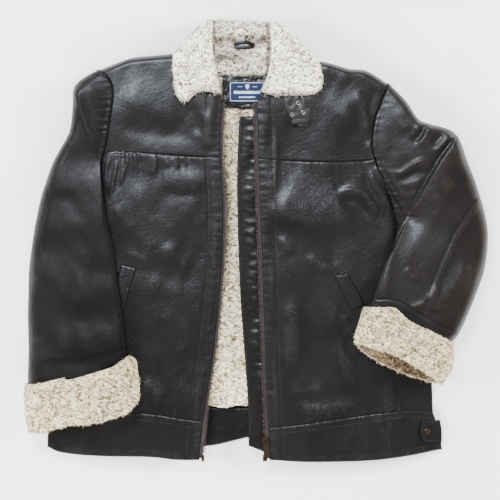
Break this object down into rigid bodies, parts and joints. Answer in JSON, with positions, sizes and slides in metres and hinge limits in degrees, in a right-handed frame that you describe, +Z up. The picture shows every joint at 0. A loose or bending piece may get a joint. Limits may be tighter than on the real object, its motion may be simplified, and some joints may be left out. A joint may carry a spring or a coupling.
{
  "type": "pile-lined leather jacket",
  "caption": "Hip-length dark leather jacket with pile lining, wide pile collar and turned-back cuffs, open front zip, laid flat on its back.",
  "frame": {"origin": "centre of the footprint, on the surface that the jacket lies on", "axes": "+X towards the wearer's left across the width, +Y towards the collar, +Z up out of the front"},
  "size_m": [0.814, 0.778, 0.078],
  "materials": {
    "dark_brown_leather": "worn semi-gloss aniline leather, near-black brown",
    "cream_pile": "curly cream pile, sheepskin look",
    "zip_tape": "brown woven zip tape",
    "antique_brass": "antique-finish brass, worn",
    "label_weave": "navy woven label with a pale border and no text",
    "pocket_cloth": "dark cotton pocketing"
  },
  "bodies": {
    "torso": {"back_panel": "dark_brown_leather", "back_lining": "cream_pile", "hem_band_back": "dark_brown_leather", "neck_patch": "dark_brown_leather", "woven_label": "label_weave", "hanger_loop": "dark_brown_leather", "under_collar_back": "dark_brown_leather", "collar_back": "cream_pile", "right_front_yoke": "dark_brown_leather", "left_front_yoke": "dark_brown_leather", "right_front_panel": "dark_brown_leather", "left_front_panel": "dark_brown_leather", "right_front_lining": "cream_pile", "left_front_lining": "cream_pile", "right_hem_band": "dark_brown_leather", "left_hem_band": "dark_brown_leather", "right_pocket_welt": "dark_brown_leather", "left_pocket_welt": "dark_brown_leather", "right_pocket_bag": "pocket_cloth", "left_pocket_bag": "pocket_cloth", "right_sleeve_head": "dark_brown_leather", "left_sleeve_head": "dark_brown_leather"},
    "right_front": {"right_flap_panel": "dark_brown_leather", "right_flap_lining": "cream_pile", "right_flap_hem": "dark_brown_leather", "right_zip_tape": "zip_tape", "right_zip_teeth": "antique_brass", "right_zip_foot": "antique_brass"},
    "left_front": {"left_flap_panel": "dark_brown_leather", "left_flap_lining": "cream_pile", "left_flap_hem": "dark_brown_leather", "left_zip_tape": "zip_tape", "left_zip_teeth": "antique_brass", "left_zip_foot": "antique_brass", "wind_strip": "dark_brown_leather"},
    "slider": {"zip_slider": "antique_brass"},
    "puller": {"zip_puller": "antique_brass"},
    "right_collar": {"right_collar_leaf": "cream_pile", "right_under_collar": "dark_brown_leather"},
    "left_collar": {"left_collar_leaf": "cream_pile", "left_under_collar": "dark_brown_leather"},
    "throat_tab": {"throat_strap": "dark_brown_leather", "strap_eyelet_1": "antique_brass", "strap_eyelet_2": "antique_brass", "strap_eyelet_3": "antique_brass", "strap_keeper": "dark_brown_leather"},
    "side_tab": {"hem_tab": "dark_brown_leather", "hem_tab_snap": "antique_brass"},
    "right_sleeve": {"right_sleeve_top": "dark_brown_leather", "right_sleeve_under": "dark_brown_leather", "right_sleeve_lining_top": "cream_pile", "right_sleeve_lining_under": "cream_pile", "right_cuff": "cream_pile"},
    "left_sleeve": {"left_sleeve_top": "dark_brown_leather", "left_sleeve_under": "dark_brown_leather", "left_sleeve_lining_top": "cream_pile", "left_sleeve_lining_under": "cream_pile", "left_cuff": "cream_pile"}
  },
  "joints": [
    {"name": "right_front_fold", "type": "hinge", "parent": "torso", "child": "right_front", "pos_m": [-0.07, 0.246, 0.031], "axis": [-0.1857, -0.9826, 0], "range_deg": [0, 90]},
    {"name": "left_front_fold", "type": "hinge", "parent": "torso", "child": "left_front", "pos_m": [0.014, 0.246, 0.031], "axis": [-0.2168, 0.9762, 0], "range_deg": [0, 90]},
    {"name": "slider_travel", "type": "slide", "parent": "left_front", "child": "slider", "axis": [-0.035, 0.9994, 0], "range_m": [0, 0.58]},
    {"name": "puller_swing", "type": "hinge", "parent": "slider", "child": "puller", "pos_m": [0.01488, -0.352, 0.0337], "axis": [-0.9994, -0.035, 0], "range_deg": [0, 75]},
    {"name": "right_collar_turn", "type": "hinge", "parent": "torso", "child": "right_collar", "pos_m": [-0.078, 0.32, 0.0341], "axis": [0, 1, 0], "range_deg": [0, 100]},
    {"name": "left_collar_turn", "type": "hinge", "parent": "torso", "child": "left_collar", "pos_m": [0.024, 0.32, 0.0341], "axis": [0, -1, 0], "range_deg": [0, 100]},
    {"name": "throat_strap_lift", "type": "hinge", "parent": "left_collar", "child": "throat_tab", "pos_m": [0.0715, 0.246, 0.0314], "axis": [-1, 0, 0], "range_deg": [0, 80]},
    {"name": "hem_tab_lift", "type": "hinge", "parent": "torso", "child": "side_tab", "pos_m": [0.325, -0.338, 0.0084], "axis": [0, 1, 0], "range_deg": [0, 100]},
    {"name": "right_sleeve_swing", "type": "hinge", "parent": "torso", "child": "right_sleeve", "pos_m": [-0.287, 0.212, 0.04], "axis": [0, 0, -1], "range_deg": [0, 30]},
    {"name": "left_sleeve_swing", "type": "hinge", "parent": "torso", "child": "left_sleeve", "pos_m": [0.258, 0.165, 0.04], "axis": [0, 0, 1], "range_deg": [0, 30]}
  ]
}
